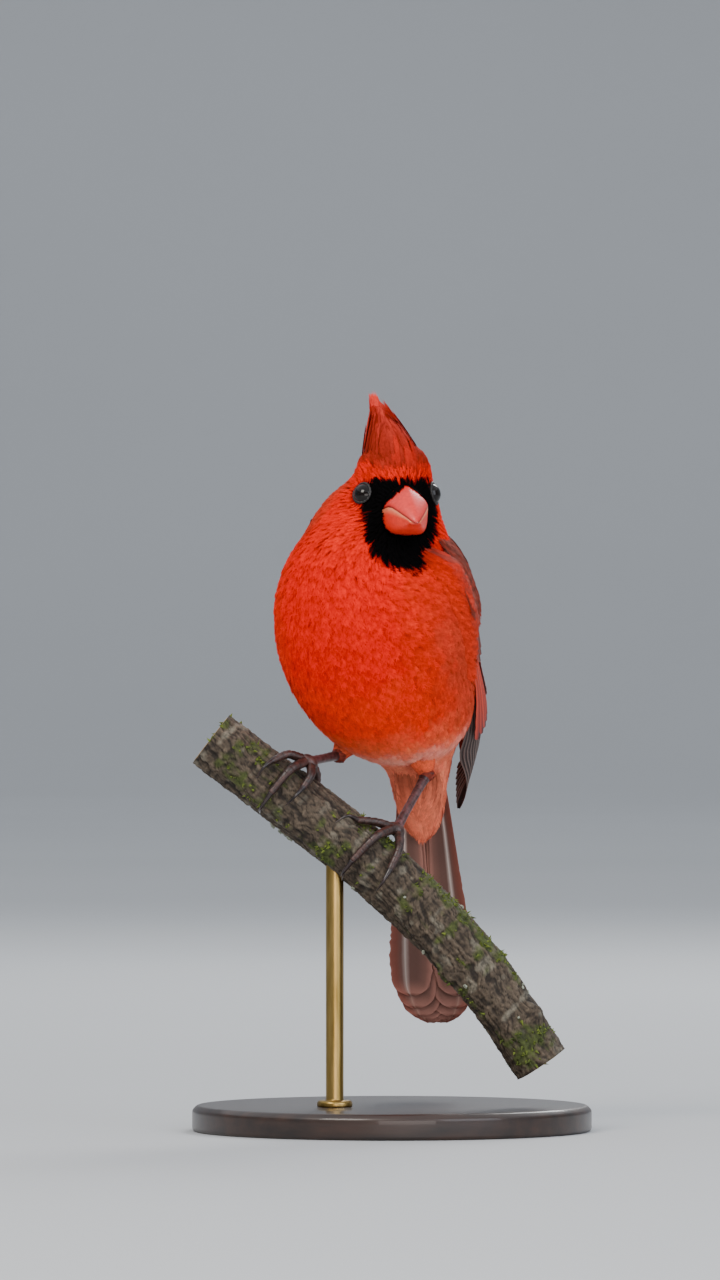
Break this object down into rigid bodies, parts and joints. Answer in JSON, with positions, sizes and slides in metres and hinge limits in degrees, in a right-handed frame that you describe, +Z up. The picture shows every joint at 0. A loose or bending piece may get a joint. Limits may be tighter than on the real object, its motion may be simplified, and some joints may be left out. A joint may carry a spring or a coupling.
{
  "type": "northern cardinal on a perch",
  "caption": "Life-size red songbird with a pointed crest and black face, still, gripping a sloping cut branch on a round display stand.",
  "frame": {"origin": "centre of the underside of the stand's round base, on the surface that the stand rests on", "axes": "+Z up; the bird's breast and the picture's viewer are towards -Y; the bird's left is towards +X"},
  "size_m": [0.124, 0.124, 0.2289],
  "materials": {
    "plumage_red": "soft feathered",
    "crest_red": "soft feathered",
    "wing_feather": "soft feathered",
    "tail_feather": "soft feathered",
    "bill": "satin",
    "eye": "glossy",
    "leg": "scaly, satin",
    "claw": "satin",
    "bark": "rough bark with moss and lichen",
    "stand_wood": "dark, satin",
    "stand_metal": "satin"
  },
  "bodies": {
    "root": {"head": "crest_red", "neck": "plumage_red", "torso": "plumage_red", "rump": "plumage_red", "tail": "tail_feather", "bill_upper": "bill", "bill_lower": "bill", "wing_left": "wing_feather", "eye_left": "eye", "thigh_left": "plumage_red", "shank_left": "leg", "foot_left": "leg", "toe_left_1": "leg", "toe_left_2": "leg", "toe_left_3": "leg", "toe_left_4": "leg", "claw_left_1": "claw", "claw_left_2": "claw", "claw_left_3": "claw", "claw_left_4": "claw", "wing_right": "wing_feather", "eye_right": "eye", "thigh_right": "plumage_red", "shank_right": "leg", "foot_right": "leg", "toe_right_1": "leg", "toe_right_2": "leg", "toe_right_3": "leg", "toe_right_4": "leg", "claw_right_1": "claw", "claw_right_2": "claw", "claw_right_3": "claw", "claw_right_4": "claw", "perch": "bark", "stand_rod": "stand_metal", "stand_base": "stand_wood"}
  },
  "joints": []
}
